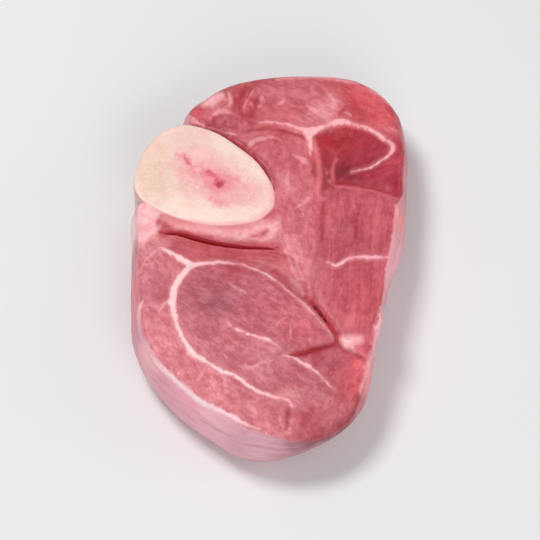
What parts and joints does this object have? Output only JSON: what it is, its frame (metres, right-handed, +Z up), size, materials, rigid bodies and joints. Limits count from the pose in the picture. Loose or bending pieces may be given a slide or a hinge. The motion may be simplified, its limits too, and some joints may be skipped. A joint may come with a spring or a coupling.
{
  "type": "raw beef shank slice",
  "caption": "Raw cross-cut slice of beef shank: red muscles between pale seams, with a ring of leg bone and its marrow at one corner.",
  "frame": {"origin": "on the surface the slice lies on, under the middle of its outline's box", "axes": "+Z up out of the shown cut face, +Y along the slice towards the bone end, +X to the right when seen from the rounded end"},
  "size_m": [0.0976, 0.1488, 0.0267],
  "materials": {
    "meat": "moist red muscle with pale pink seams and a lilac-white skin round the side",
    "bone": "sawn cream bone, slightly moist",
    "marrow": "soft pink marrow in fine spongy bone, with small blood spots"
  },
  "bodies": {
    "root": {"meat": "meat", "bone": "bone", "marrow": "marrow"}
  },
  "joints": []
}
